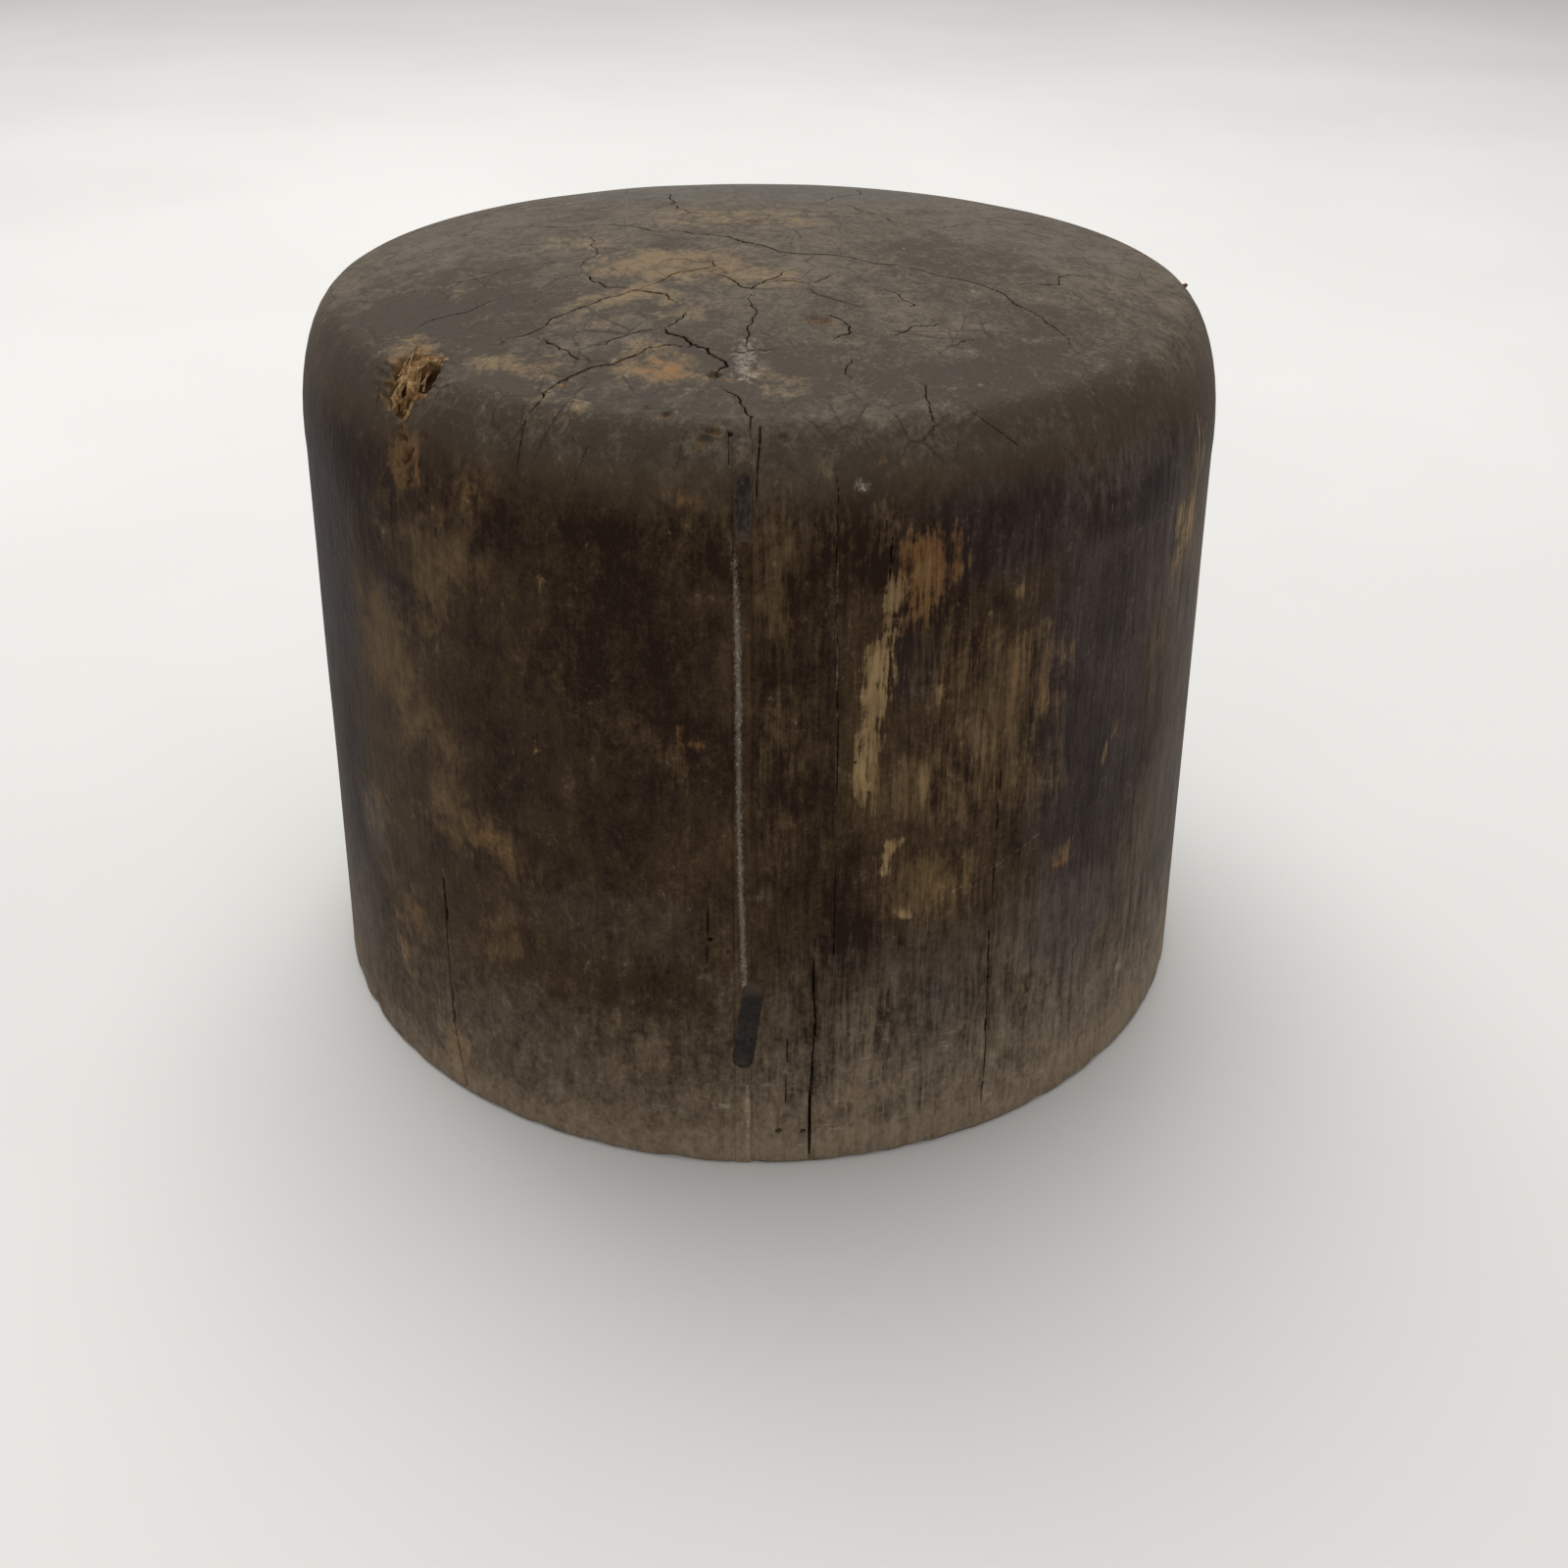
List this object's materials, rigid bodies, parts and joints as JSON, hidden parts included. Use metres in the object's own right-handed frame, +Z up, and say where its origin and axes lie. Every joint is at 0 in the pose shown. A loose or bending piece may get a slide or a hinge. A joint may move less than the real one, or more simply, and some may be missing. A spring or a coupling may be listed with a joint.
{
  "type": "wooden forming block",
  "caption": "Solid round wooden forming block with gently tapering sides, a domed crown, a filled front centre line and a spindle socket in its flat base.",
  "frame": {"origin": "centre of the flat base, at the height that the block stands on", "axes": "+Z up through the middle of the crown, the filled centre line faces -Y, +X is to the right seen from the front"},
  "size_m": [0.1858, 0.1737, 0.148],
  "materials": {
    "old_wood": "dark, worn and waxed, with vertical grain, fine checks and ochre rubbed patches",
    "strip_wood": "dry, dusty, a little lighter than the block",
    "pitch": "smooth hard dark filler",
    "decayed_wood": "soft, crumbling, reddish brown",
    "rusty_iron": "brown rust",
    "cast_iron": "dark cast iron with light rust"
  },
  "bodies": {
    "root": {"block_body": "old_wood", "front_strip": "strip_wood", "upper_pitch_fill": "pitch", "lower_pitch_fill": "pitch", "decayed_knot": "decayed_wood", "shoulder_nail": "rusty_iron", "spindle_flange": "cast_iron", "flange_screw_1": "rusty_iron", "flange_screw_2": "rusty_iron", "flange_screw_3": "rusty_iron", "flange_screw_4": "rusty_iron"}
  },
  "joints": []
}
